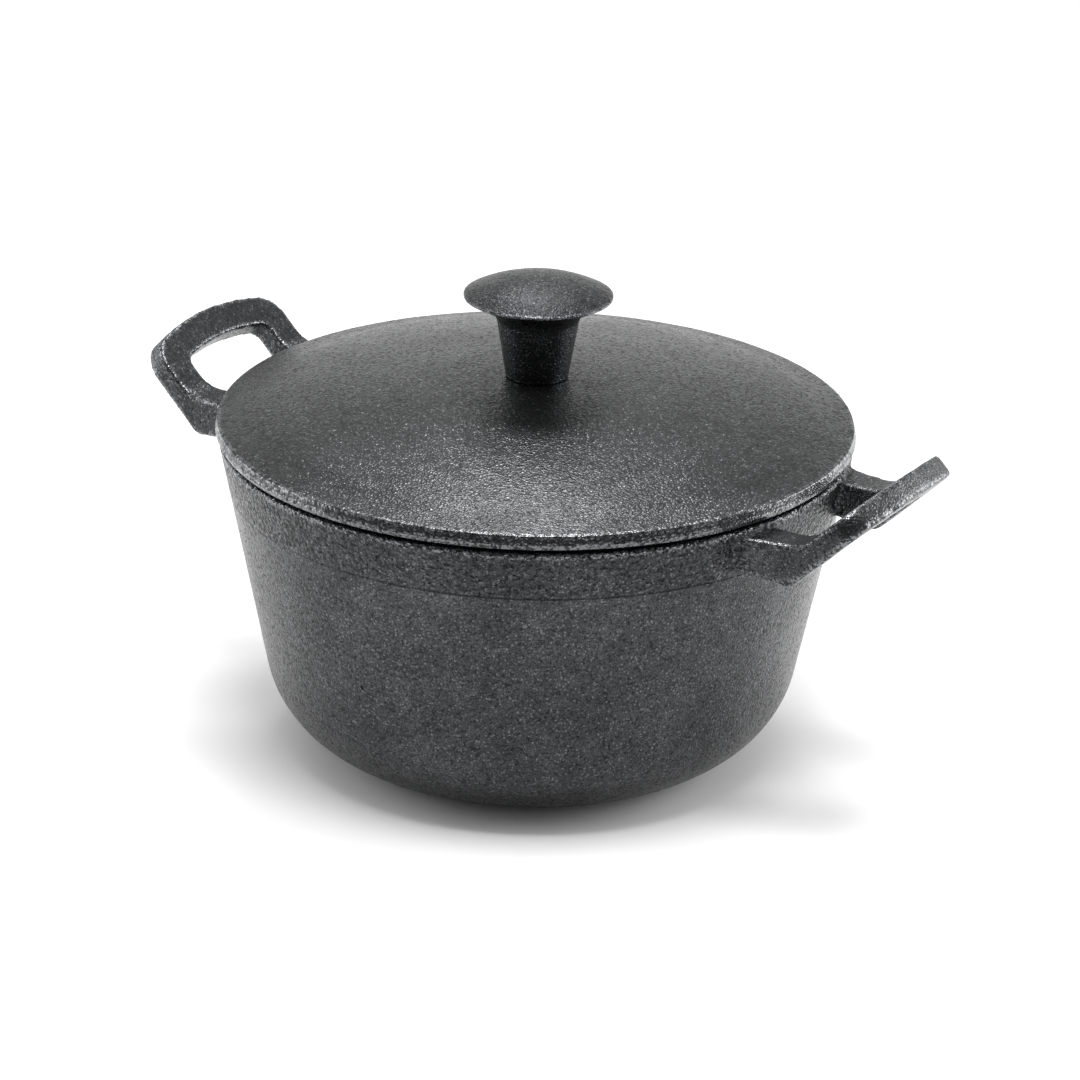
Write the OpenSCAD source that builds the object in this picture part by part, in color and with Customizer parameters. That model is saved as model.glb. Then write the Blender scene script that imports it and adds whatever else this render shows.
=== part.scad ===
// Covered cast iron casserole with two loop handles and a screwed-on knob.
// Millimetres, +Z up. The pot stands on z = 0 with its axis on the Z axis and
// its two handles along X. Every piece is drawn where it sits when closed.

/* [Pot] */
// Outer radius of the pot at the top of its rim
pot_r = 119; // [80:0.5:170]
// Height of the pot from the table to its rim
pot_h = 121.5; // [60:0.5:200]
// Lean of the wall away from the vertical, in degrees
draft = 11.1; // [0:0.1:20]
// Outer radius of the rounded corner between wall and base
corner_r = 40; // [10:0.5:55]
// Thickness of the wall, measured square to it
wall_t = 4.8; // [3:0.1:10]
// Thickness of the base
base_t = 5.4; // [3:0.1:12]
// Radius on both edges of the rim
rim_round = 1.2; // [0.3:0.1:2]

/* [Handles] */
// Height of the handle's flat root below the rim
root_drop = 2.5; // [1:0.5:15]
// Depth of the handle at its lowest corner
root_h = 15.5; // [8:0.5:30]
// How far the underside lifts again on its way to the wall
root_lift = 3; // [0.5:0.5:8]
// Distance from the pot's rim to the bend in the handle's top face
bend_out = 15; // [5:0.5:40]
// Radius of the bend in the top face
bend_round = 16; // [4:1:30]
// Radius of the bend in the underside
low_round = 5; // [2:0.5:15]
// Slope of the raised part of the loop, in degrees
slope = 45; // [0:1:60]
// Length of the raised part up its slope, at the middle of the grip
rise_len = 28.5; // [15:0.5:50]
// How far the grip bows outward between its corners
grip_bow = 6.5; // [0:0.5:15]
// Thickness of the loop at the grip
loop_t = 8.4; // [5:0.1:15]
// Width of one handle across both legs
loop_w = 77; // [40:1:140]
// Width of one leg
leg_w = 13; // [6:0.5:25]
// Width of the grip bar up its slope
bar_w = 12; // [6:0.5:25]
// Radius of the loop's two outer corners
loop_round = 13; // [2:0.5:20]
// Radius of the finger gap's two outer corners
gap_round = 6; // [1:0.5:15]
// Radius of the flare that blends each leg into the wall
flare_r = 80; // [10:1:80]

/* [Lid] */
// How far the lid's edge stands out past the rim
lid_lap = 1; // [0:0.5:4]
// Height of the lid's edge
edge_h = 5.8; // [3:0.1:12]
// Rise of the dome above the edge
dome_rise = 15.8; // [4:0.1:40]
// Thickness of the dome
lid_t = 4.2; // [3:0.1:8]
// Height of the shadow gap between the lid's edge and the rim
edge_gap = 1.5; // [0.5:0.1:4]
// Depth of the locating ring below the rim
ring_h = 6; // [2:0.5:15]
// Width of the locating ring
ring_w = 4.5; // [2:0.5:10]
// Radial clearance between the locating ring and the pot
ring_clear = 1.2; // [0.4:0.1:3]

/* [Knob] */
// Radius of the knob's cap
cap_r = 27.9; // [15:0.1:45]
// Height of the cap's rim above the foot of the stem
cap_z = 31.9; // [12:0.5:50]
// Height of the cap's crown above its rim
crown_h = 6.9; // [2:0.5:20]
// Radius of the stem at its foot
stem_r = 11.8; // [8:0.1:25]
// Lean of the stem's side, in degrees
stem_lean = 9.5; // [0:0.5:20]
// Lean of the cap's underside, in degrees
cap_lean = 27; // [5:1:45]
// Radius between stem and cap
stem_fillet = 7; // [1:0.5:15]
// Thickness of the cap at its rim
rim_t = 1.8; // [1:0.1:6]

/* [Fastener] */
// Nominal diameter of the knob's screw
screw_d = 6; // [4:0.5:10]
// Length of the screw below its head
screw_len = 20; // [10:1:40]
// Diameter of the screw's head
head_d = 12; // [8:0.5:20]
// Height of the screw's head
head_h = 3.6; // [2:0.1:6]
// Width of the driver slot
slot_w = 1.6; // [0.8:0.1:3]
// Depth of the driver slot
slot_t = 1.5; // [0.8:0.1:3]
// Thickness of the lock washer
washer_t = 1.6; // [0.8:0.1:3]
// Width of the lock washer's ring
washer_w = 2.8; // [1.5:0.1:5]
// Width of the cut through the lock washer
washer_cut = 1; // [0.5:0.1:3]
// Radial clearance between the screw and its threaded hole
thread_clear = 0.05; // [0.01:0.01:0.2]
// Radial clearance between the screw and the hole in the lid
hole_clear = 0.3; // [0.1:0.05:1]
// Space left beyond the screw's tip
tip_space = 2; // [0.5:0.5:5]

/* [View] */
// Piece to draw

/* [Hidden] */
fine = 144;             // sides of the large round forms
small = 24;             // sides of the small edge radii
eps = 0.02;             // overlap that keeps joined outlines from only touching

// Wall line at height z, and the point where it would meet the table
function wall_at(z) = pot_r - (pot_h - z) * tan(draft);
rim_in = pot_r - wall_t / cos(draft);
corner_in = corner_r - wall_t;

// Handle, in the vertical plane through its middle
root_top = pot_h - root_drop;
bend_x = pot_r + bend_out;
rise_cut = rise_len - grip_bow;     // slope length at the two outer corners
bow_r = (pow(loop_w / 2, 2) + pow(grip_bow, 2)) / (2 * grip_bow);
gap_w = loop_w - 2 * leg_w;
gap_len = rise_len - bar_w;
gap_bow_r = bow_r - bar_w;

// Lid and its seat on the rim
lid_r = pot_r + lid_lap;
lid_z = pot_h + edge_gap;
edge_round = 2;
lip_round = 1.2;
dome_c = lid_r - edge_round;
dome_r = (pow(dome_c, 2) + pow(dome_rise, 2)) / (2 * dome_rise);
dome_top = lid_z + edge_h + dome_rise;
dome_cz = dome_top - dome_r;
pad_r = stem_r + 1.4;               // flat seats above and below the screw hole
pad_drop = dome_r - sqrt(pow(dome_r, 2) - pow(pad_r, 2));
knob_z = dome_top - pad_drop;
under_z = knob_z - lid_t;
ring_r = rim_in - ring_clear;
ring_in = ring_r - ring_w;
land_r = (rim_in + pot_r) / 2;      // outer edge of the land, halfway across the rim

// Screw, head downwards under the lid
screw_r = screw_d / 2;
head_z = under_z - washer_t;
tip_z = head_z + screw_len;
hole_top = tip_z + tip_space;

// Sliver between a corner and the arc that rounds it: add it to fill an
// inside corner, take it away to round an outside one. a1 and a2 are the
// directions of the two edges that leave point p.
module sliver(p, a1, a2, r, sides = small) {
    half = (a2 - a1) / 2;
    mid = (a1 + a2) / 2;
    centre = p + r / sin(half) * [cos(mid), sin(mid)];
    out = r + eps;
    difference() {
        polygon([p - eps / sin(half) * [cos(mid), sin(mid)],
                 centre + out * [sin(a1), -cos(a1)],
                 centre + out * [-sin(a2), cos(a2)]]);
        translate(centre) circle(r, $fn = sides);
    }
}

// Outside of the pot, without handles
module pot_outline() {
    difference() {
        polygon([[0, 0], [wall_at(0), 0], [pot_r, pot_h], [0, pot_h]]);
        sliver([wall_at(0), 0], 90 - draft, 180, corner_r, fine);
        sliver([pot_r, pot_h], 180, 270 - draft, rim_round);
    }
}

// Inside of the pot, running up through the open top
module pot_hollow() {
    low = rim_in - (pot_h - base_t) * tan(draft);
    difference() {
        polygon([[0, base_t], [low, base_t], [rim_in, pot_h],
                 [rim_in + 1, pot_h + 5], [0, pot_h + 5]]);
        sliver([low, base_t], 90 - draft, 180, corner_in, fine);
    }
    sliver([rim_in, pot_h], -90 - draft, 0, rim_round);
}

// Side view of a handle: a deep flat root, then a plate that climbs outward
module loop_side() {
    far = rise_len + 12;
    up = [cos(slope), sin(slope)];
    top_bend = [bend_x, root_top];
    // corner of the underside, loop_t below the raised top face
    low_z = root_top - root_h;
    low_bend = [bend_x + (loop_t - root_h * cos(slope)) / sin(slope), low_z];
    root_low = [pot_r - 8, low_z + root_lift];
    low_dir = 180 - atan(root_lift / (low_bend.x - root_low.x));
    difference() {
        union() {
            polygon([[pot_r - 18, root_top], top_bend, top_bend + far * up,
                     low_bend + far * up, low_bend, root_low,
                     [pot_r - 18, root_low.y]]);
            sliver(top_bend, slope, 180, bend_round, fine);
        }
        sliver(low_bend, slope, low_dir, low_round, fine);
    }
}

// Outline of the loop, seen square to its raised face: x runs up the slope
// from the bend and y across the handle
module loop_outline() {
    intersection() {
        difference() {
            translate([-60, -loop_w / 2]) square([60 + rise_len + 2, loop_w]);
            for (s = [-1, 1])
                scale([1, s]) sliver([rise_cut + 0.5, loop_w / 2], 180, 286, loop_round, fine);
        }
        translate([rise_len - bow_r, 0]) circle(bow_r, $fn = fine);
    }
}

// Outline of the finger gap, in the same plane
module gap_outline() {
    inner_cut = gap_len - (gap_bow_r - sqrt(pow(gap_bow_r, 2) - pow(gap_w / 2, 2)));
    intersection() {
        difference() {
            translate([-60, -gap_w / 2]) square([60 + gap_len + 2, gap_w]);
            for (s = [-1, 1])
                scale([1, s]) sliver([inner_cut, gap_w / 2], 180, 288, gap_round, fine);
        }
        translate([gap_len - gap_bow_r, 0]) circle(gap_bow_r + 0.01, $fn = fine);
    }
}

// Plan of the two flares that spread each leg along the wall
module flare_plan() {
    difference() {
        translate([pot_r - 18, -loop_w / 2 - 8]) square([bend_x - pot_r + 18, loop_w + 16]);
        for (s = [-1, 1])
            translate([bend_x, s * (loop_w / 2 + flare_r)]) circle(flare_r, $fn = fine);
    }
}

module on_slope() {
    translate([bend_x, 0, root_top]) rotate([0, -slope, 0])
        linear_extrude(120, center = true) children();
}

// One loop handle on the +X side
module loop_handle() {
    difference() {
        intersection() {
            rotate([90, 0, 0]) linear_extrude(loop_w + 20, center = true) loop_side();
            union() {
                on_slope() loop_outline();
                linear_extrude(pot_h + 1) flare_plan();
            }
        }
        on_slope() gap_outline();
    }
}

// Pot and both handles are one casting
module pot() {
    color([0.2, 0.2, 0.21])
    difference() {
        union() {
            difference() {
                for (s = [0, 180]) rotate([0, 0, s]) loop_handle();
                // leaves the handles standing on the wall only
                rotate_extrude($fn = fine) square([pot_r - 8, pot_h + 5]);
            }
            rotate_extrude($fn = fine) pot_outline();
        }
        rotate_extrude($fn = fine) pot_hollow();
    }
}

// Half section of the lid, with the locating ring under it
module lid_section() {
    difference() {
        intersection() {
            translate([0, dome_cz]) circle(dome_r, $fn = 4 * fine);
            difference() {
                translate([0, lid_z]) square([lid_r, edge_h + dome_rise]);
                sliver([lid_r, lid_z], 90, 180, lip_round);
                sliver([lid_r, lid_z + edge_h], 173, 270, edge_round);
                // flat seat for the knob
                translate([0, knob_z]) square([pad_r, 10]);
            }
        }
        intersection() {
            translate([0, dome_cz]) circle(dome_r - lid_t, $fn = 4 * fine);
            translate([0, lid_z - 1]) square([ring_in, under_z - lid_z + 1]);
        }
    }
    // land that rests on the rim
    translate([ring_in, pot_h]) square([land_r - ring_in, edge_gap + 1]);
    difference() {
        translate([ring_in, pot_h - ring_h]) square([ring_w, ring_h + 1]);
        sliver([ring_r, pot_h - ring_h], 90, 180, rim_round);
    }
}

module lid() {
    color([0.22, 0.22, 0.23])
    difference() {
        rotate_extrude($fn = fine) lid_section();
        translate([0, 0, under_z - 1]) cylinder(h = lid_t + 2, r = screw_r + hole_clear, $fn = 48);
    }
}

// Half section of the knob, foot at z = 0
module knob_section() {
    crown_r = (pow(cap_r, 2) + pow(crown_h, 2)) / (2 * crown_h);
    crown_cz = cap_z + crown_h - crown_r;
    rim_z = cap_z - rim_t;
    // corner where the stem's side would meet the cap's underside
    neck_z = (rim_z - (cap_r - stem_r) * tan(cap_lean)) / (1 - tan(stem_lean) * tan(cap_lean));
    neck = [stem_r + neck_z * tan(stem_lean), neck_z];
    difference() {
        intersection() {
            polygon([[0, 0], [stem_r, 0], neck, [cap_r, rim_z], [cap_r, cap_z + crown_h],
                     [0, cap_z + crown_h]]);
            translate([0, crown_cz]) circle(crown_r, $fn = 2 * fine);
        }
        sliver([cap_r, rim_z], 90, 180 + cap_lean, rim_t / 2);
        sliver([cap_r, cap_z], 180 - asin(cap_r / crown_r), 270, rim_t / 3);
    }
    sliver(neck, -90 - stem_lean, cap_lean, stem_fillet, fine);
}

module knob() {
    color([0.18, 0.18, 0.19])
    difference() {
        translate([0, 0, knob_z]) rotate_extrude($fn = 96) knob_section();
        translate([0, 0, knob_z - 1])
            cylinder(h = hole_top - knob_z + 1, r = screw_r + thread_clear, $fn = 48);
    }
}

// Slotted pan-head screw; its thread is drawn plain at the nominal size
module knob_screw() {
    color([0.62, 0.62, 0.64])
    difference() {
        union() {
            translate([0, 0, head_z]) cylinder(h = screw_len - 0.8, r = screw_r, $fn = 48);
            translate([0, 0, tip_z - 0.8]) cylinder(h = 0.8, r1 = screw_r, r2 = screw_r - 0.8, $fn = 48);
            translate([0, 0, head_z - head_h]) rotate_extrude($fn = 48)
                difference() {
                    square([head_d / 2, head_h]);
                    sliver([head_d / 2, 0], 90, 180, head_h * 0.6);
                }
        }
        translate([-head_d, -slot_w / 2, head_z - head_h - 1]) cube([2 * head_d, slot_w, slot_t + 1]);
    }
}

// Split ring, pressed flat between the head and the lid
module lock_washer() {
    bore = screw_r + 0.1;
    color([0.5, 0.5, 0.52])
    translate([0, 0, head_z])
    difference() {
        cylinder(h = washer_t, r = bore + washer_w, $fn = 48);
        translate([0, 0, -1]) cylinder(h = washer_t + 2, r = bore, $fn = 48);
        translate([bore + washer_w / 2, 0, washer_t / 2]) rotate([25, 0, 0])
            cube([washer_w + 2, washer_cut, 4 * washer_t], center = true);
    }
}

pot();
lid();
knob();
knob_screw();
lock_washer();
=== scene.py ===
# %% [markdown]
# A covered casserole is three castings: the pot with its two loop handles,
# the lid, and the knob. A steel screw and a lock washer hold the knob on.
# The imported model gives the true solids. This script builds the skin that is
# seen around them: rounded edges, blended handle roots, a sand-cast surface.

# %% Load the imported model
import math

import bmesh
import bpy
import numpy as np
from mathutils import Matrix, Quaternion, Vector


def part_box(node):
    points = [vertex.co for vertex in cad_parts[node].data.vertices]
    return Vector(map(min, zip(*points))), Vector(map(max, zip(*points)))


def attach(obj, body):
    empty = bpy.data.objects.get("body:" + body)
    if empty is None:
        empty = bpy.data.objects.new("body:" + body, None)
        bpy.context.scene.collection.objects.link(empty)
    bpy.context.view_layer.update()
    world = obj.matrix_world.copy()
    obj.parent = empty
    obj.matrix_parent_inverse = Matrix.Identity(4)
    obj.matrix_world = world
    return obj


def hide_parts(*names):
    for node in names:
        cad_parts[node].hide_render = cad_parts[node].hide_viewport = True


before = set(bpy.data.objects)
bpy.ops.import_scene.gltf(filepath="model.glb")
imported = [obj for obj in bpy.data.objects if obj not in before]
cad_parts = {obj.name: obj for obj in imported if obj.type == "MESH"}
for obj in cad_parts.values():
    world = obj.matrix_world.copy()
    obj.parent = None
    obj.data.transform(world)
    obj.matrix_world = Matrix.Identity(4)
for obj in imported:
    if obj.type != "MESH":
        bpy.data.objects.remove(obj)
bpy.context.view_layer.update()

# %% [markdown]
# Lengths are easiest to read in millimetres, and Blender works in metres, so
# every size is written in millimetres and multiplied once by MM. The pot's
# driving sizes come first, and everything that has to fit is worked out.

# %% Sizes of the pot and lid
MM = 0.001

RIM_R = 119.0           # outer radius of the pot at its rim
RIM_H = 121.5           # height of the rim above the table
DRAFT = math.radians(11.1)
CORNER_R = 40.0         # rounded corner between wall and base
WALL_T = 4.8
BASE_T = 5.4
LID_GAP = 1.5           # shadow gap between lid edge and rim
LID_Z = RIM_H + LID_GAP
PARTING_Z = 103.0       # height of the mould's parting line


def wall_r(z):
    """Outer radius of the sloping wall at height z."""
    return RIM_R - (RIM_H - z) * math.tan(DRAFT)


low, high = (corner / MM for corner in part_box("pot"))
print(f"pot solid: {high.x - low.x:.1f} x {high.y - low.y:.1f} x {high.z - low.z:.1f} mm")

# %% [markdown]
# The camera stands to the right of the front, about twenty degrees up and
# well back, so that the ellipses of lid and base are nearly alike. It aims a
# little below the lid, so that the pot sits in the middle of the frame.

# %% Camera
VIEW_AZIMUTH, VIEW_ELEVATION = math.radians(32.0), math.radians(20.87)
VIEW_DISTANCE = 1.407
VIEW_TILT, VIEW_PAN, VIEW_ROLL = math.radians(-1.705), math.radians(-0.1), math.radians(1.2)

back = Vector((math.sin(VIEW_AZIMUTH) * math.cos(VIEW_ELEVATION),
               -math.cos(VIEW_AZIMUTH) * math.cos(VIEW_ELEVATION),
               math.sin(VIEW_ELEVATION)))
camera = bpy.data.objects.new("camera", bpy.data.cameras.new("camera"))
bpy.context.scene.collection.objects.link(camera)
camera.data.lens = 125.0
camera.data.sensor_width = 36.0
camera.location = Vector((0, 0, LID_Z * MM)) + back * VIEW_DISTANCE
camera.rotation_mode = "QUATERNION"
camera.rotation_quaternion = ((-back).to_track_quat("-Z", "Y")
                              @ Quaternion((0, 1, 0), VIEW_PAN)
                              @ Quaternion((1, 0, 0), VIEW_TILT)
                              @ Quaternion((0, 0, 1), VIEW_ROLL))
bpy.context.scene.camera = camera
print("camera at", tuple(round(v, 3) for v in camera.location))

# %% [markdown]
# Shader maths reads best as plain sums. The class below wraps one socket, and
# its operators add Math nodes. Any other node comes from one method that
# takes the node's type, its settings and the values or links of its sockets.

# %% A small language for shader nodes
class Socket:
    """One output socket, with operators that add Math nodes."""

    def __init__(self, finish, link):
        self.finish, self.link = finish, link

    def also(self, output):
        """Another output of the same node."""
        return Socket(self.finish, self.link.node.outputs[output])

    def _math(self, operation, a, b=0.0):
        return self.finish.add("Math", {"operation": operation}, [a, b])

    def __add__(self, other): return self._math("ADD", self, other)
    def __radd__(self, other): return self._math("ADD", other, self)
    def __sub__(self, other): return self._math("SUBTRACT", self, other)
    def __rsub__(self, other): return self._math("SUBTRACT", other, self)
    def __mul__(self, other): return self._math("MULTIPLY", self, other)
    def __rmul__(self, other): return self._math("MULTIPLY", other, self)


class Finish:
    """A material being built: add nodes, then send sockets to the shader."""

    def __init__(self, name):
        self.material = bpy.data.materials.new(name)
        self.material.use_nodes = True
        self.tree = self.material.node_tree
        self.shader = self.tree.nodes["Principled BSDF"]

    def add(self, kind, settings=None, inputs=(), output=0):
        node = self.tree.nodes.new("ShaderNode" + kind)
        for key, value in (settings or {}).items():
            if key == "stops":
                ramp = node.color_ramp.elements
                while len(ramp) < len(value):
                    ramp.new(0.5)
                for element, (place, colour) in zip(ramp, value):
                    element.position, element.color = place, (*colour, 1.0)
            else:
                setattr(node, key, value)
        pairs = inputs.items() if isinstance(inputs, dict) else enumerate(inputs)
        for key, value in pairs:
            self._feed(node.inputs[key], value)
        return Socket(self, node.outputs[output])

    def _feed(self, target, value):
        if isinstance(value, Socket):
            self.tree.links.new(value.link, target)
        else:
            target.default_value = value

    def shade(self, **values):
        for name, value in values.items():
            self._feed(self.shader.inputs[name.replace("_", " ")], value)
        return self.material


def noise(finish, where, size_mm, detail=2.0, roughness=0.5):
    """Soft random values with features of about size_mm."""
    return finish.add("TexNoise", {"noise_dimensions": "3D"},
                      {"Vector": where, "Scale": 1 / (size_mm * MM), "Detail": detail,
                       "Roughness": roughness}, "Fac")


def ramp(finish, value, low_at, high_at):
    """0 below low_at, 1 above high_at, and smooth between."""
    return finish.add("MapRange", {"interpolation_type": "SMOOTHSTEP"},
                      {"Value": value, "From Min": low_at, "From Max": high_at}, "Result")


print("shader helpers ready")

# %% [markdown]
# Dark iron has almost no colour of its own, so it shows what stands around it.
# A pale floor, a world that is bright at the horizon and overhead, and a big
# soft lamp on either side give the pot its light edges and leave its front
# darker. Two smaller lamps high up, one behind the lid and one above it, make
# the grains glitter.

# %% Lamps
def emitter(name, at, target, size, power):
    """A rectangular soft lamp at a place, turned towards a target."""
    lamp = bpy.data.lights.new(name, "AREA")
    lamp.shape = "RECTANGLE"
    lamp.size, lamp.size_y = size
    lamp.energy = power
    made = bpy.data.objects.new(name, lamp)
    made.location = at
    made.rotation_mode = "QUATERNION"
    made.rotation_quaternion = (Vector(target) - Vector(at)).to_track_quat("-Z", "Y")
    bpy.context.scene.collection.objects.link(made)
    return made


def around(azimuth, elevation, distance):
    """A point around the pot, its azimuth counted from the camera's."""
    a, e = VIEW_AZIMUTH + math.radians(azimuth), math.radians(elevation)
    return Vector((math.sin(a) * math.cos(e), -math.cos(a) * math.cos(e), math.sin(e))) * distance


AIM = Vector((0, 0, 0.07))
emitter("left_bank", around(-100, 12, 1.0), AIM, (0.8, 0.8), 5.5)
emitter("right_bank", around(100, 12, 1.0), AIM, (0.8, 0.8), 11)
emitter("overhead", around(182, 60, 1.4), AIM, (0.5, 0.3), 5.5)
emitter("top", around(0, 76, 1.3), AIM, (0.5, 0.28), 10)

# %% Studio air
class Air(Finish):
    """The world's own tree, built with the same methods as a material's."""

    def __init__(self, name):
        self.material = bpy.data.worlds.new(name)
        self.material.use_nodes = True
        self.tree = self.material.node_tree
        self.shader = self.tree.nodes["Background"]


def studio_air():
    """Bright at the horizon and overhead, but dim on the camera's side."""
    air = Air("studio")
    towards = air.add("TexCoord", output="Generated")
    camera_side = air.add("VectorMath", {"operation": "DOT_PRODUCT"},
                          [towards, (math.sin(VIEW_AZIMUTH), -math.cos(VIEW_AZIMUTH), 0.0)], "Value")
    height = air.add("SeparateXYZ", inputs=[towards], output="Z")
    level = 0.78 - 0.62 * ramp(air, camera_side, -0.2, 0.8)
    rise = 1.4 - 0.48 * ramp(air, height, 0.0, 0.3) + 1.0 * ramp(air, height, 0.72, 0.92)
    return air.shade(Color=(1, 1, 1, 1), Strength=level * rise)


bpy.context.scene.world = studio_air()
bpy.context.scene.view_settings.view_transform = "Standard"
print("studio air:", bpy.context.scene.world.name)

# %% [markdown]
# Seasoned iron from a sand mould is a dark skin full of small round grains.
# Each grain is a tiny mirror that faces its own way, so the surface glitters.
# Voronoi cells make the grains: the distance to a cell's centre gives a round
# bump, and the cell's own random value decides whether it is polished or dull.
# The tops of the lucky grains are painted lighter, partly their own tone and
# partly a painted glint; the unlucky grains and the low ground between grains
# are painted darker, partly their own tone and partly painted shade.
# Above the parting line the mould was rougher, so a second, larger set of
# grains fades in there. Tone and gloss drift slowly, as baked-on oil does.
# Each casting carries an attribute named crest, which says how sharply it
# bends at every point: edges are painted lighter and glossier, partly worn
# metal and partly a painted highlight, and inside corners are painted darker
# and duller, a painted shade.

# %% Grains
def grains(finish, where, size_mm):
    """Round bumps of about size_mm, and a random value for each of them."""
    bend = noise(finish, where, size_mm * 1.7, 1.0)
    sway = finish.add("CombineXYZ", inputs=[bend, 1 - bend, bend], output="Vector")
    moved = finish.add("VectorMath", {"operation": "MULTIPLY_ADD"},
                       [(size_mm * MM,) * 3, sway, where], "Vector")
    distance = finish.add("TexVoronoi", {"voronoi_dimensions": "3D", "feature": "F1"},
                          {"Vector": moved, "Scale": 1 / (size_mm * MM)}, "Distance")
    luck = finish.add("SeparateColor", inputs=[distance.also("Color")], output="Red")
    return 1 - ramp(finish, distance, 0.05, 0.85), luck


print("grain helper ready")

# %% Cast iron
def cast_iron(name, tone, grain_mm, depth_mm, gloss, mottle, grain_and_glint_lift, coarse_above=None):
    """Dark seasoned casting; coarse_above is a height where the grain grows."""
    finish = Finish(name)
    place = finish.add("TexCoord", output="Object")
    bumps, luck = grains(finish, place, grain_mm)
    hills = noise(finish, place, grain_mm * 2.6, 2.0, 0.5)
    sand = noise(finish, place, grain_mm * 0.7, 2.0, 0.5)
    crest = finish.add("Attribute", {"attribute_name": "crest"}, output="Fac")
    # Edges are painted lighter and glossier: partly worn metal, partly a painted highlight.
    rubbed_wear_and_edge_glint = ramp(finish, crest, 0.05, 0.25) * ramp(finish, sand * 0.6 + luck * 0.4, 0.35, 0.6)
    # Inside corners, such as the handle roots, are painted darker: painted shade.
    painted_corner_shade = ramp(finish, crest, -0.04, -0.25)
    blotch = noise(finish, place, 34.0, 3.0, 0.55)
    drift = noise(finish, place, 7.0, 2.0, 0.5)
    relief = bumps * (0.3 + 0.7 * luck) + hills * 0.7
    # The tops of lucky grains are painted lighter: partly their own lighter tone, partly a painted glint.
    bright_grains_and_glint = ramp(finish, luck * 0.7 + bumps * 0.3, 0.7, 0.95)
    # Unlucky grains and the low ground between grains are painted darker: partly their own darker tone,
    # partly painted shade. More painted shade joins it below.
    dark_grains_and_shade = ramp(finish, luck * 0.6 + bumps * 0.4, 0.42, 0.12) + painted_corner_shade * 0.5
    if coarse_above is not None:
        height = finish.add("SeparateXYZ", inputs=[place], output="Z")
        level = finish.add("VectorMath", {"operation": "MULTIPLY"}, [place, (1, 1, 0)], "Vector")
        radius = finish.add("VectorMath", {"operation": "LENGTH"}, [level], "Value")
        on_wall = ramp(finish, radius, (RIM_R + 4.0) * MM, (RIM_R + 1.0) * MM)
        band = ramp(finish, height, (coarse_above - 1.0) * MM, (coarse_above + 2.0) * MM) * on_wall
        pebbles, toss = grains(finish, place, grain_mm * 2.1)
        relief = relief + band * (pebbles * (0.4 + 0.8 * toss) * 4.0)
        # Painted shade in the low ground between the coarse pebbles, and a painted glint on their tops.
        dark_grains_and_shade = dark_grains_and_shade + band * ramp(finish, pebbles, 0.45, 0.15) * 0.5
        bright_grains_and_glint = bright_grains_and_glint + band * ramp(finish, toss * pebbles, 0.45, 0.8) * 0.5
        off_line = finish.add("Math", {"operation": "ABSOLUTE"}, [height - coarse_above * MM])
        flash = ramp(finish, off_line, 0.5 * MM, 0.05 * MM) * on_wall
        pocks, chance = grains(finish, place, 12.0)
        pit = ramp(finish, pocks, 0.975, 0.992) * ramp(finish, chance, 0.8, 0.84)
        relief = relief - flash * 2.5 - pit * 6.0
        # The parting-line groove and the pits are painted darker too: painted shade in the groove and in the
        # pits.
        dark_grains_and_shade = dark_grains_and_shade + flash * 0.6 + pit
    bump = finish.add("Bump", inputs={"Strength": 1.0, "Distance": depth_mm * MM, "Height": relief},
                      output="Normal")
    # The colour mixes the iron's own mottled tone with painted glints and painted shade from grains, edges
    # and inside corners.
    tint = (0.5 + (sand - 0.5) * mottle + bright_grains_and_glint * grain_and_glint_lift + rubbed_wear_and_edge_glint * 0.5 - dark_grains_and_shade * 0.22
            + (blotch - 0.5) * 0.3 + (drift - 0.5) * 0.2)
    colour = finish.add("ValToRGB", {"stops": [(0.1, tuple(0.12 * c for c in tone)), (0.5, tone),
                                               (0.95, tuple(4.0 * c for c in tone))]}, [tint], "Color")
    rough = gloss + 0.08 * (1 - blotch) + 0.08 * (1 - bright_grains_and_glint) - 0.06 * rubbed_wear_and_edge_glint + 0.25 * dark_grains_and_shade
    return finish.shade(Base_Color=colour, Roughness=rough, Metallic=0.9, Normal=bump)


IRON_TONE = (0.044, 0.045, 0.047)
LID_TONE = (0.041, 0.042, 0.0435)
# The knob's iron is a darker copy, painted shade meant for its stem in the shade of the cap.
KNOB_TONE_WITH_PAINTED_SHADE = (0.032, 0.033, 0.035)
# The last plain number in each call lifts the lighter grains: partly their own lighter tone, partly a painted
# glint.
pot_iron = cast_iron("pot_iron", IRON_TONE, 0.85, 0.12, 0.17, 0.6, 0.28, coarse_above=PARTING_Z)
lid_iron = cast_iron("lid_iron", LID_TONE, 1.05, 0.115, 0.12, 0.5, 0.27)
knob_iron = cast_iron("knob_iron", KNOB_TONE_WITH_PAINTED_SHADE, 0.8, 0.13, 0.16, 0.9, 0.3)
print("cast iron finishes", [m.name for m in (pot_iron, lid_iron, knob_iron)])

# %% [markdown]
# The screw and washer are plain steel. Turning leaves fine rings in the
# surface, and handling dulls it in patches.

# %% Steel
def steel(name, tone, gloss):
    """Bright turned steel, slightly uneven in gloss and tone."""
    finish = Finish(name)
    place = finish.add("TexCoord", output="Object")
    smear = noise(finish, place, 2.5, 3.0, 0.6)
    scratch = noise(finish, place, 0.35, 2.0, 0.5)
    colour = finish.add("ValToRGB", {"stops": [(0.3, tuple(0.75 * c for c in tone)), (0.75, tone)]},
                        [smear], "Color")
    bump = finish.add("Bump", inputs={"Strength": 0.5, "Distance": 0.03 * MM, "Height": scratch},
                      output="Normal")
    return finish.shade(Base_Color=colour, Roughness=gloss + 0.2 * smear, Metallic=1.0, Normal=bump)


screw_steel = steel("screw_steel", (0.62, 0.62, 0.63), 0.18)
washer_steel = steel("washer_steel", (0.38, 0.38, 0.39), 0.30)

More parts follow.
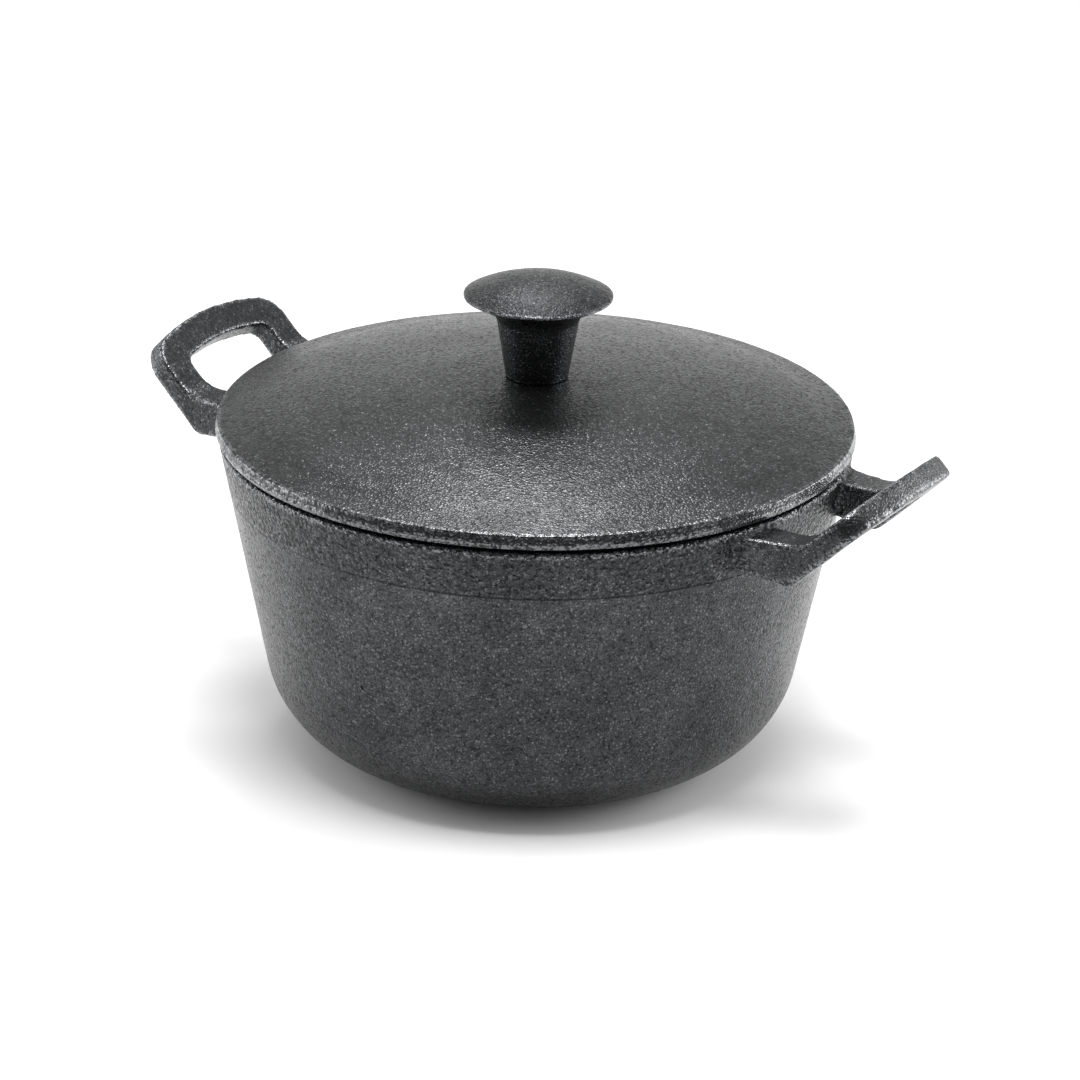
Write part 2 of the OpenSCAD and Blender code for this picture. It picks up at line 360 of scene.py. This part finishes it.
floor_finish = Finish("floor_paper")
tooth = noise(floor_finish, floor_finish.add("TexCoord", output="Object"), 3.0)
floor_finish.shade(Base_Color=(0.9, 0.9, 0.9, 1.0), Roughness=0.75 + 0.1 * tooth)
print("steel and floor finishes ready")

# %% Objects from points and faces
def mesh_object(name, points=(), faces=(), edges=()):
    """A new object at the origin, its points given in millimetres."""
    mesh = bpy.data.meshes.new(name)
    mesh.from_pydata([tuple(MM * c for c in p) for p in points], list(edges), list(faces))
    made = bpy.data.objects.new(name, mesh)
    bpy.context.scene.collection.objects.link(made)
    return made


print("mesh objects can be made from points in millimetres")

# %% Floor
def floor_sheet():
    """A wide pale sheet, a hair below the pot's foot."""
    half, below = 8000.0, 0.2
    corners = [(x * half, y * half, -below) for x, y in ((-1, -1), (1, -1), (1, 1), (-1, 1))]
    sheet = mesh_object("floor", corners, [(0, 1, 2, 3)])
    sheet.data.materials.append(floor_finish.material)
    return sheet


floor_sheet()
print("floor in place")

# %% [markdown]
# Pot, lid, knob and screw are all turned forms: one outline swept round the
# axis. A single Geometry Nodes tree does it. It lays out a grid with one
# column for each side and one row for each point of the outline, then moves
# every grid point to its place on the circle. Doubles along the seam and at
# the poles are merged, so the skin is closed.

# %% Node tree: sweep an outline round the axis
class Tree:
    """A Geometry Nodes tree being built, with named inputs."""

    def __init__(self, name):
        self.tree = bpy.data.node_groups.new(name, "GeometryNodeTree")
        self.tree.is_modifier = True
        self.keys = {}
        self.tree.interface.new_socket("Geometry", in_out="INPUT", socket_type="NodeSocketGeometry")
        self.tree.interface.new_socket("Geometry", in_out="OUTPUT", socket_type="NodeSocketGeometry")
        self.entry = self.tree.nodes.new("NodeGroupInput")

    def input(self, name, kind, value=None):
        socket = self.tree.interface.new_socket(name, in_out="INPUT", socket_type="NodeSocket" + kind)
        if value is not None:
            socket.default_value = value
        self.keys[name] = socket.identifier
        return self.entry.outputs[name]

    def add(self, kind, settings=None, inputs=(), output=0):
        node = self.tree.nodes.new(kind)
        for key, value in (settings or {}).items():
            setattr(node, key, value)
        for key, value in (inputs.items() if isinstance(inputs, dict) else enumerate(inputs)):
            if isinstance(value, bpy.types.NodeSocket):
                self.tree.links.new(value, node.inputs[key])
            else:
                node.inputs[key].default_value = value
        return node.outputs[output]

    def math(self, operation, a, b=0.0):
        return self.add("ShaderNodeMath", {"operation": operation}, [a, b])

    def end(self, geometry, material):
        real = self.add("GeometryNodeRealizeInstances", inputs=[geometry])
        done = self.add("GeometryNodeSetMaterial", inputs={"Geometry": real, "Material": material})
        out = self.tree.nodes.new("NodeGroupOutput")
        self.tree.links.new(done, out.inputs[0])


def sweep_tree():
    """Sweeps the points of an outline object round the Z axis."""
    t = Tree("sweep_outline")
    outline = t.input("Outline", "Object")
    sides = t.input("Sides", "Int", 96)
    material = t.input("Material", "Material")
    points = t.add("GeometryNodeObjectInfo", inputs={"Object": outline}, output="Geometry")
    rows = t.add("GeometryNodeAttributeDomainSize", {"component": "MESH"}, [points], "Point Count")
    grid = t.add("GeometryNodeMeshGrid", inputs={"Vertices X": t.math("ADD", sides, 1.0),
                                                 "Vertices Y": rows}, output="Mesh")
    index = t.add("GeometryNodeInputIndex")
    row = t.math("FLOORED_MODULO", index, rows)
    column = t.math("FLOOR", t.math("DIVIDE", index, rows))
    turn = t.math("MULTIPLY", t.math("DIVIDE", column, sides), math.tau)
    position = t.add("GeometryNodeInputPosition")
    on_line = t.add("GeometryNodeSampleIndex", {"data_type": "FLOAT_VECTOR", "domain": "POINT"},
                    {"Geometry": points, "Value": position, "Index": row}, "Value")
    radius = t.add("ShaderNodeSeparateXYZ", inputs=[on_line], output="X")
    height = radius.node.outputs["Z"]
    place = t.add("ShaderNodeCombineXYZ",
                  inputs=[t.math("MULTIPLY", radius, t.math("COSINE", turn)),
                          t.math("MULTIPLY", radius, t.math("SINE", turn)), height])
    swept = t.add("GeometryNodeSetPosition", inputs={"Geometry": grid, "Position": place})
    closed = t.add("GeometryNodeMergeByDistance", inputs={"Geometry": swept, "Distance": 1e-6})
    smooth = t.add("GeometryNodeSetShadeSmooth", inputs={"Geometry": closed, "Shade Smooth": True})
    t.end(smooth, material)
    return t


SWEEP = sweep_tree()
print("sweep tree inputs", sorted(SWEEP.keys))

# %% [markdown]
# A tree is used through a modifier. Its inputs are set by the identifier of
# each socket, the result is copied to a plain mesh, and the modifier goes.

# %% Running a tree
def run_tree(tree, base, **values):
    """Runs a tree on a mesh object and leaves the result as its plain mesh."""
    modifier = base.modifiers.new("tree", "NODES")
    modifier.node_group = tree.tree
    for name, value in values.items():
        modifier[tree.keys[name]] = value
    bpy.context.view_layer.update()
    graph = bpy.context.evaluated_depsgraph_get()
    made = bpy.data.meshes.new_from_object(base.evaluated_get(graph), depsgraph=graph)
    base.modifiers.remove(modifier)
    base.data = made
    made.name = base.name
    return base


def point_outwards(made):
    """Merges doubles and turns every face outwards."""
    work = bmesh.new()
    work.from_mesh(made.data)
    bmesh.ops.remove_doubles(work, verts=work.verts, dist=1e-6)
    bmesh.ops.recalc_face_normals(work, faces=work.faces)
    work.to_mesh(made.data)
    work.free()
    made.data.polygons.foreach_set("use_smooth", [True] * len(made.data.polygons))
    return made


def sweep(name, outline, sides, material):
    """Turned form: outline is a list of (radius, height) in millimetres."""
    rail = mesh_object(name + "_outline", [(r, 0, z) for r, z in outline])
    form = run_tree(SWEEP, mesh_object(name), Outline=rail, Sides=sides, Material=material)
    bpy.data.objects.remove(rail)
    point_outwards(form)
    print(f"{name}: {len(outline)} rows x {sides} sides, {len(form.data.polygons)} faces")
    return form


# %% Drawing outlines
def rounded(corners, degrees=6):
    """An outline through corners (radius, height, rounding), with true arcs."""
    line = []
    for k, (r, z, rounding) in enumerate(corners):
        corner = Vector((r, z))
        if not rounding:
            line.append((r, z))
            continue
        before = (Vector(corners[k - 1][:2]) - corner).normalized()
        after = (Vector(corners[k + 1][:2]) - corner).normalized()
        half = before.angle(after) / 2
        centre = corner + (before + after).normalized() * (rounding / math.sin(half))
        first = corner + before * (rounding / math.tan(half)) - centre
        last = corner + after * (rounding / math.tan(half)) - centre
        start = math.atan2(first.y, first.x)
        turn = (math.atan2(last.y, last.x) - start + math.pi) % math.tau - math.pi
        steps = max(3, math.ceil(abs(math.degrees(turn)) / degrees))
        line += [(centre.x + rounding * math.cos(start + turn * j / steps),
                  centre.y + rounding * math.sin(start + turn * j / steps)) for j in range(steps + 1)]
    return line


def fill_line(points, step):
    """The same outline with long stretches cut to at most step millimetres."""
    dense = [points[0]]
    for a, b in zip(points, points[1:]):
        count = max(1, math.ceil(math.dist(a, b) / step))
        dense += [tuple(p + (q - p) * k / count for p, q in zip(a, b)) for k in range(1, count + 1)]
    return dense


print("outline of a rounded square corner:", len(rounded([(0, 0, 0), (5, 0, 1), (5, 5, 0)])), "points")

# %% [markdown]
# The bowl's outline starts on the axis under the base, goes round the corner,
# climbs the sloping wall, turns over the rim and comes back down inside. Six
# corners say it all, because each one carries its own rounding.

# %% Bowl
WALL_ACROSS = WALL_T / math.cos(DRAFT)     # the wall measured level, not square to itself

bowl_corners = [(0, 0, 0), (wall_r(0), 0, CORNER_R), (RIM_R, RIM_H, 1.2),
                (RIM_R - WALL_ACROSS, RIM_H, 1.2),
                (wall_r(BASE_T) - WALL_ACROSS, BASE_T, CORNER_R - WALL_T), (0, BASE_T, 0)]
bowl = sweep("bowl", fill_line(rounded(bowl_corners, 3), 3.0), 192, pot_iron)

# %% [markdown]
# The handles are part of the same casting. Their solids come from the packed
# pot: a copy is merged and cut off a little inside the wall on each side.
# Bowl and handles are then melted into one skin by a voxel remesh, the way
# clay is pressed together, and a few rounds of smoothing round the edges and
# fill the inside corners where the legs leave the wall. Smoothing also makes
# the slim handles thinner, so they are swollen again by half a millimetre.

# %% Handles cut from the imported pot
HANDLE_FROM_X, HANDLE_FROM_Z = 104.0, 96.0     # the handles lie beyond and above these


def handle_solid(side):
    """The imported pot's handle on one side (+1 or -1), with its piece of wall."""
    work = bmesh.new()
    work.from_mesh(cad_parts["pot"].data)
    bmesh.ops.remove_doubles(work, verts=work.verts, dist=1e-6)
    everything = work.verts[:] + work.edges[:] + work.faces[:]
    bmesh.ops.bisect_plane(work, geom=everything, plane_co=(side * HANDLE_FROM_X * MM, 0, 0),
                           plane_no=(side, 0, 0), clear_inner=True)
    bmesh.ops.holes_fill(work, edges=[e for e in work.edges if e.is_boundary])
    bmesh.ops.triangulate(work, faces=work.faces)
    made = mesh_object("handle")
    work.to_mesh(made.data)
    work.free()
    return made


def join(target, *others):
    """Moves the meshes of the other objects into target and removes them."""
    work = bmesh.new()
    for piece in (target, *others):
        work.from_mesh(piece.data)
    work.to_mesh(target.data)
    work.free()
    for piece in others:
        bpy.data.objects.remove(piece)
    return target


pot_rough = join(bowl, handle_solid(1), handle_solid(-1))
print("bowl and handles:", len(pot_rough.data.polygons), "faces before melting")

# %% Melting the casting together
def bake_modifiers(piece):
    """Turns what the piece's modifiers show into its plain mesh."""
    bpy.context.view_layer.update()
    graph = bpy.context.evaluated_depsgraph_get()
    made = bpy.data.meshes.new_from_object(piece.evaluated_get(graph), depsgraph=graph)
    piece.modifiers.clear()
    piece.data = made
    made.name = piece.name
    return piece


def vertex_places(piece):
    places = np.empty(len(piece.data.vertices) * 3, np.float32)
    piece.data.vertices.foreach_get("co", places)
    return places.reshape(-1, 3)


def vertex_normals(piece):
    normals = np.empty(len(piece.data.vertices) * 3, np.float32)
    piece.data.vertex_normals.foreach_get("vector", normals)
    return normals.reshape(-1, 3)


def melt(piece, voxel_mm):
    """One closed skin round everything in the piece, made of small squares."""
    remesh = piece.modifiers.new("melt", "REMESH")
    remesh.mode = "VOXEL"
    remesh.voxel_size = voxel_mm * MM
    bake_modifiers(piece)
    print(f"melted at {voxel_mm} mm: {len(piece.data.polygons)} faces")
    return piece


def soften(piece, rounds, weight_of=None):
    """Smooths the piece; weight_of(places) says how much each point may move."""
    relax = piece.modifiers.new("soften", "SMOOTH")
    relax.factor, relax.iterations = 0.5, rounds
    if weight_of is not None:
        group = piece.vertex_groups.new(name="soft")
        for index, weight in enumerate(weight_of(vertex_places(piece))):
            if weight > 0.01:
                group.add([index], float(weight), "REPLACE")
        relax.vertex_group = group.name
    bake_modifiers(piece)
    piece.vertex_groups.clear()
    return piece


def near_handles(places):
    """1 on the handles and the blend at their roots, 0 on the bowl."""
    r = np.hypot(places[:, 0], places[:, 1])
    proud = (r - wall_r(places[:, 2] / MM) * MM) / MM
    beyond = (places[:, 2] > HANDLE_FROM_Z * MM) * (np.abs(places[:, 0]) > HANDLE_FROM_X * MM)
    return np.clip((proud + 2.5) / 2.0, 0, 1) * beyond


def swell(piece, by_mm, weight_of):
    """Moves points outwards along their normals, as far as weight_of says."""
    places = vertex_places(piece)
    places += vertex_normals(piece) * (weight_of(places) * by_mm * MM)[:, None]
    piece.data.vertices.foreach_set("co", places.astype(np.float32).ravel())
    piece.data.update()
    return piece


melt(pot_rough, 1.0)
soften(pot_rough, 2)
soften(pot_rough, 3, near_handles)
swell(pot_rough, 0.5, near_handles)

# %% [markdown]
# No casting is truly even. A second Geometry Nodes tree pushes each point a
# little inwards along its normal, by slow waves and by grains of sand. The
# mould was rougher above the parting line, so the grains sink deeper there.
# The push is inwards everywhere, but the handles were swollen before it, so
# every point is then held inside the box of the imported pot.

# %% Node tree: cast skin
def skin_tree():
    """Pushes points inwards by waves and grains of noise."""
    t = Tree("cast_skin")
    form = t.entry.outputs["Geometry"]
    wave_size, wave_depth = t.input("Wave Size", "Float", 0.03), t.input("Wave Depth", "Float", 0.0002)
    grain_size, grain_depth = t.input("Grain Size", "Float", 0.003), t.input("Grain Depth", "Float", 0.0001)
    rough_above, rough_times = t.input("Rough Above", "Float", 10.0), t.input("Rough Times", "Float", 1.0)
    material = t.input("Material", "Material")
    place = t.add("GeometryNodeInputPosition")

    def depth(size, amount, seed_offset):
        shifted = t.add("ShaderNodeVectorMath", {"operation": "ADD"}, [place, (seed_offset, 0.0, 0.0)])
        value = t.add("ShaderNodeTexNoise", {"noise_dimensions": "3D"},
                      {"Vector": shifted, "Scale": t.math("DIVIDE", 1.0, size), "Detail": 2.0}, "Fac")
        return t.math("MULTIPLY", value, amount)

    height = t.add("ShaderNodeSeparateXYZ", inputs=[place], output="Z")
    above = t.math("GREATER_THAN", height, rough_above)
    grow = t.math("ADD", 1.0, t.math("MULTIPLY", above, t.math("SUBTRACT", rough_times, 1.0)))
    push = t.math("ADD", depth(wave_size, wave_depth, 0.0),
                  t.math("MULTIPLY", depth(grain_size, grain_depth, 1.0), grow))
    normal = t.add("GeometryNodeInputNormal")
    offset = t.add("ShaderNodeVectorMath", {"operation": "SCALE"},
                   {"Vector": normal, "Scale": t.math("MULTIPLY", push, -1.0)}, "Vector")
    moved = t.add("GeometryNodeSetPosition", inputs={"Geometry": form, "Offset": offset})
    smooth = t.add("GeometryNodeSetShadeSmooth", inputs={"Geometry": moved, "Shade Smooth": True})
    t.end(smooth, material)
    return t


SKIN = skin_tree()
print("skin tree inputs", sorted(SKIN.keys))


def cast_skin(piece, material, wave=(30.0, 0.25), grain=(2.6, 0.2), rough_above=1000.0, rough_times=1.0):
    """Gives a piece its uneven cast surface; sizes and depths in millimetres."""
    return run_tree(SKIN, piece, **{"Wave Size": wave[0] * MM, "Wave Depth": wave[1] * MM,
                                    "Grain Size": grain[0] * MM, "Grain Depth": grain[1] * MM,
                                    "Rough Above": rough_above * MM, "Rough Times": rough_times,
                                    "Material": material})


def keep_inside(piece, node):
    """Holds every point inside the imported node's box."""
    lowest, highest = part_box(node)
    places = vertex_places(piece)
    most_out = max((lowest - Vector(places.min(0))).to_tuple() + (Vector(places.max(0)) - highest).to_tuple())
    np.clip(places, np.array(lowest), np.array(highest), out=places)
    piece.data.vertices.foreach_set("co", places.ravel())
    piece.data.update()
    print(f"{piece.name}: {most_out / MM:+.2f} mm past the box of {node} before it was held in")
    return piece


def thin_out(piece, triangles):
    """Removes points where the surface is plain, down to about so many triangles."""
    piece.data.update()
    count = sum(len(face.vertices) - 2 for face in piece.data.polygons)
    if count > triangles:
        fewer = piece.modifiers.new("thin", "DECIMATE")
        fewer.ratio = triangles / count
        bake_modifiers(piece)
    piece.data.polygons.foreach_set("use_smooth", [True] * len(piece.data.polygons))
    print(f"{piece.name}: {count} triangles thinned to {len(piece.data.polygons)} faces")
    return piece


def mark_crests(piece, rounds=2):
    """Stores how sharply the skin bends outwards at each point, per millimetre."""
    mesh = piece.data
    places, normals = vertex_places(piece), vertex_normals(piece)
    ends = np.empty(len(mesh.edges) * 2, np.int32)
    mesh.edges.foreach_get("vertices", ends)
    a, b = ends.reshape(-1, 2).T
    across = places[a] - places[b]
    bend = ((normals[a] - normals[b]) * across).sum(1) / np.maximum((across * across).sum(1), 1e-12) * MM
    count = np.bincount(a, minlength=len(places)) + np.bincount(b, minlength=len(places))
    count = np.maximum(count, 1)
    crest = (np.bincount(a, bend, len(places)) + np.bincount(b, bend, len(places))) / count
    for _ in range(rounds):
        around_it = np.bincount(a, crest[b], len(places)) + np.bincount(b, crest[a], len(places))
        crest = (crest + around_it / count) / 2
    mesh.attributes.new("crest", "FLOAT", "POINT").data.foreach_set("value", crest.astype(np.float32))
    print(f"{piece.name}: {np.mean(crest > 0.1) * 100:.1f}% of its points lie on a crest")
    return piece


pot_rough.name = "pot_casting"
cast_skin(pot_rough, pot_iron, wave=(26, 0.3), grain=(2.4, 0.1), rough_above=PARTING_Z, rough_times=1.5)
thin_out(pot_rough, 190_000)
pot_casting = mark_crests(keep_inside(pot_rough, "pot"))

# %% [markdown]
# The lid is one turned form with a hole through its middle. Going round its
# outline: the thin dome's underside, the ring that drops inside the rim and
# keeps the lid from sliding, the narrow land that rests on the rim, the edge,
# and the shallow dome up to the flat where the knob sits. The edge leans two
# ways, because each half of the mould has to slip off it.

# %% Lid
LID_R, EDGE_H, DOME_RISE, LID_T = 120.0, 5.8, 15.8, 4.2
RING_H, RING_W, RING_CLEAR = 6.0, 4.5, 1.2
SCREW_R, HOLE_CLEAR = 3.0, 0.3
SEAT_R = 13.2
MARGIN_R, MARGIN_BLEND, MARGIN_DIP = 102.0, 8.0, 0.3    # the flatter margin near the edge

dome_foot = LID_R - 2.0
dome_radius = (dome_foot ** 2 + DOME_RISE ** 2) / (2 * DOME_RISE)
dome_middle = LID_Z + EDGE_H + DOME_RISE - dome_radius
rim_inside = RIM_R - WALL_ACROSS
ring_outer = rim_inside - RING_CLEAR
ring_inner = ring_outer - RING_W


def dome_z(r, radius=dome_radius):
    return dome_middle + math.sqrt(radius ** 2 - r ** 2)


def top_z(r):
    """Top of the lid: the dome, with a flatter margin just inside the edge."""
    inward = min(max((r - MARGIN_R) / MARGIN_BLEND, 0.0), 1.0)
    fade = min(1.0, (dome_foot - r) / MARGIN_BLEND)
    return dome_z(r) - MARGIN_DIP * inward * inward * (3 - 2 * inward) * fade


SEAT_Z = dome_z(SEAT_R)
UNDER_Z = SEAT_Z - LID_T
hole_r = SCREW_R + HOLE_CLEAR
under_radius = dome_radius - LID_T
under_seat = math.sqrt(under_radius ** 2 - (UNDER_Z - dome_middle) ** 2)

under = [(r, dome_z(r, under_radius), 0) for r in np.linspace(under_seat, ring_inner, 24)]
over = [(r, top_z(r), 0) for r in np.linspace(dome_foot - 1.0, SEAT_R, 72)]
lid_corners = ([(hole_r, UNDER_Z, 0)] + under[:-1]
               + [(*under[-1][:2], 0), (ring_inner, RIM_H - RING_H, 0.8), (ring_outer, RIM_H - RING_H, 1.2),
                  (ring_outer, RIM_H, 0), ((rim_inside + RIM_R) / 2, RIM_H, 0),
                  ((rim_inside + RIM_R) / 2, LID_Z, 0), (LID_R - 1.0, LID_Z, 0.5),
                  (LID_R, LID_Z + 1.9, 0.8), (LID_R - 0.9, LID_Z + EDGE_H - 0.2, 0.9)]
               + over + [(hole_r, SEAT_Z, 0), (hole_r, UNDER_Z, 0)])
lid_casting = sweep("lid_casting", fill_line(rounded(lid_corners), 2.2), 288, lid_iron)
cast_skin(lid_casting, lid_iron, wave=(22, 0.22), grain=(2.6, 0.08))
mark_crests(keep_inside(lid_casting, "lid"), 1)

# %% [markdown]
# The knob is a mushroom: a stem that widens upwards, a generous inside curve
# under the cap, a thin rim and a low crown. A blind hole in its foot takes
# the screw.

# %% Knob
CAP_R, CAP_Z, CROWN_H, STEM_R, RIM_T = 27.9, 31.9, 6.9, 11.8, 1.0
STEM_LEAN, CAP_LEAN = math.radians(9.5), math.radians(27)
SCREW_LEN, TIP_SPACE, WASHER_T = 20.0, 2.0, 1.6

crown_radius = (CAP_R ** 2 + CROWN_H ** 2) / (2 * CROWN_H)
crown_middle = CAP_Z + CROWN_H - crown_radius
cap_under = CAP_Z - RIM_T
neck_z = ((cap_under - (CAP_R - STEM_R) * math.tan(CAP_LEAN))
          / (1 - math.tan(STEM_LEAN) * math.tan(CAP_LEAN)))
head_z = UNDER_Z - WASHER_T
hole_top = head_z + SCREW_LEN + TIP_SPACE
knob_bore_r = SCREW_R + 0.05

knob_corners = [(0, hole_top, 0), (knob_bore_r, hole_top, 0), (knob_bore_r, SEAT_Z, 0),
                (STEM_R, SEAT_Z, 0.5),
                (STEM_R + neck_z * math.tan(STEM_LEAN), SEAT_Z + neck_z, 7.0),
                (CAP_R, SEAT_Z + cap_under, 0.4), (CAP_R, SEAT_Z + CAP_Z, 0.35)]
knob_corners += [(r, SEAT_Z + crown_middle + math.sqrt(crown_radius ** 2 - r ** 2), 0)
                 for r in np.linspace(CAP_R - 0.9, 0, 24)]
knob_casting = sweep("knob_casting", fill_line(rounded(knob_corners, 4), 0.9), 160, knob_iron)
cast_skin(knob_casting, knob_iron, wave=(12, 0.2), grain=(1.8, 0.06))
mark_crests(keep_inside(knob_casting, "knob"), 1)

# %% [markdown]
# A screw thread is a turned form whose radius also depends on the angle: the
# ridge climbs one pitch in each full turn. The tree below lays out a grid as
# the sweep does, but sets each point's radius from its height and its angle.

# %% Node tree: threaded rod
def thread_tree():
    """A rod along Z whose radius follows a rising V thread."""
    t = Tree("threaded_rod")
    outer, cut = t.input("Outer Radius", "Float", 0.003), t.input("Thread Depth", "Float", 0.0006)
    pitch, bottom = t.input("Pitch", "Float", 0.001), t.input("Bottom", "Float", 0.0)
    length = t.input("Length", "Float", 0.02)
    sides, rows = t.input("Sides", "Int", 32), t.input("Rows", "Int", 200)
    material = t.input("Material", "Material")
    grid = t.add("GeometryNodeMeshGrid", inputs={"Vertices X": t.math("ADD", sides, 1.0),
                                                 "Vertices Y": rows}, output="Mesh")
    index = t.add("GeometryNodeInputIndex")
    row = t.math("FLOORED_MODULO", index, rows)
    column = t.math("FLOOR", t.math("DIVIDE", index, rows))
    share = t.math("DIVIDE", column, sides)
    along = t.math("MULTIPLY", t.math("DIVIDE", row, t.math("SUBTRACT", rows, 1.0)), length)
    phase = t.math("SUBTRACT", t.math("DIVIDE", along, pitch), share)
    ridge = t.math("PINGPONG", phase, 0.5)
    radius = t.math("SUBTRACT", outer, t.math("MULTIPLY", t.math("MULTIPLY", ridge, 2.0), cut))
    turn = t.math("MULTIPLY", share, math.tau)
    place = t.add("ShaderNodeCombineXYZ",
                  inputs=[t.math("MULTIPLY", radius, t.math("COSINE", turn)),
                          t.math("MULTIPLY", radius, t.math("SINE", turn)),
                          t.math("ADD", bottom, along)])
    rod = t.add("GeometryNodeSetPosition", inputs={"Geometry": grid, "Position": place})
    closed = t.add("GeometryNodeMergeByDistance", inputs={"Geometry": rod, "Distance": 1e-6})
    t.end(closed, material)
    return t


THREAD = thread_tree()
print("thread tree inputs", sorted(THREAD.keys))


def close_ends(piece):
    """Caps every open edge loop, then points the faces outwards."""
    work = bmesh.new()
    work.from_mesh(piece.data)
    bmesh.ops.remove_doubles(work, verts=work.verts, dist=1e-6)
    bmesh.ops.holes_fill(work, edges=[e for e in work.edges if e.is_boundary])
    work.to_mesh(piece.data)
    work.free()
    return point_outwards(piece)


# %% Screw
HEAD_R, HEAD_H, SLOT_W, SLOT_T = 6.0, 3.6, 1.6, 1.5
PITCH, THREAD_CUT, THREAD_STEPS = 1.0, 0.6, 8      # steps are rows of points per turn
NECK_R, NECK_H = SCREW_R - 0.35, 1.2               # plain neck that the thread starts round
THREAD_FROM, THREAD_LEN = 0.4, SCREW_LEN - 0.9

head_corners = [(0, head_z - HEAD_H, 0), (HEAD_R, head_z - HEAD_H, 2.1), (HEAD_R, head_z, 0.2),
                (NECK_R, head_z, 0), (NECK_R, head_z + NECK_H, 0), (0, head_z + NECK_H, 0)]
knob_screw = sweep("screw_pan_head", fill_line(rounded(head_corners), 1.0), 64, screw_steel)

driver = mesh_object("driver_slot")
block = bmesh.new()
bmesh.ops.create_cube(block, size=MM)
bmesh.ops.scale(block, verts=block.verts, vec=(3 * HEAD_R, SLOT_W, 2 * SLOT_T))
bmesh.ops.translate(block, verts=block.verts, vec=(0, 0, (head_z - HEAD_H) * MM))
block.to_mesh(driver.data)
block.free()
milled = knob_screw.modifiers.new("slot", "BOOLEAN")
milled.operation, milled.object, milled.solver = "DIFFERENCE", driver, "EXACT"
bake_modifiers(knob_screw)
bpy.data.objects.remove(driver)

shank = run_tree(THREAD, mesh_object("shank"), **{
    "Outer Radius": SCREW_R * MM, "Thread Depth": THREAD_CUT * MM, "Pitch": PITCH * MM,
    "Bottom": (head_z + THREAD_FROM) * MM, "Length": THREAD_LEN * MM, "Sides": 32,
    "Rows": int(THREAD_LEN / PITCH * THREAD_STEPS), "Material": screw_steel})
close_ends(shank)
join(knob_screw, shank)
print("screw:", len(knob_screw.data.polygons), "faces")

# %% [markdown]
# The lock washer is a flat ring of spring steel with one slanting cut. The
# ends bite into the screw's head and keep it from working loose.

# %% Lock washer
def split_ring(name, bore, width, thick, bottom, cut, lean, steps):
    """A ring of square section with softened edges and a slanting cut."""
    soft = 0.25
    middle_r, middle_z = bore + width / 2, bottom + thick / 2
    section = rounded([(middle_r, bottom, 0), (bore + width, bottom, soft),
                       (bore + width, bottom + thick, soft), (bore, bottom + thick, soft),
                       (bore, bottom, soft), (middle_r, bottom, 0)], 30)[:-1]
    points = []
    for k in range(steps + 1):
        for r, z in section:
            slant = (z - middle_z) * math.tan(lean)
            a = (cut / 2 + slant) / middle_r + (math.tau - cut / middle_r) * k / steps
            points.append((r * math.cos(a), r * math.sin(a), z))
    n = len(section)
    faces = [(k * n + j, k * n + (j + 1) % n, (k + 1) * n + (j + 1) % n, (k + 1) * n + j)
             for k in range(steps) for j in range(n)]
    return close_ends(mesh_object(name, points, faces))


WASHER_BORE_R, WASHER_W, WASHER_CUT = SCREW_R + 0.1, 2.8, 1.1
WASHER_LEAN = math.radians(-25)

lock_washer = split_ring("washer_split_ring", WASHER_BORE_R, WASHER_W, WASHER_T, head_z,
                         WASHER_CUT, WASHER_LEAN, 72)
lock_washer.data.materials.append(washer_steel)
print("washer:", len(lock_washer.data.polygons), "faces")

# %% [markdown]
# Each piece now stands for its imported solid. The pot stays on the table, and
# the lid carries its knob, screw and washer with it when it is lifted.

# %% Hand over the pieces
PIECES = [(pot_casting, "pot", "pot", "pot_iron"), (lid_casting, "lid", "lid", "lid_iron"),
          (knob_casting, "lid", "knob", "knob_iron"), (knob_screw, "lid", "knob_screw", "screw_steel"),
          (lock_washer, "lid", "lock_washer", "spring_steel")]
for piece, body, node, finish_slot in PIECES:
    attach(piece, body)
    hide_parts(node)
    print(f"{piece.name}: rides on {body}, {len(piece.data.polygons)} faces")
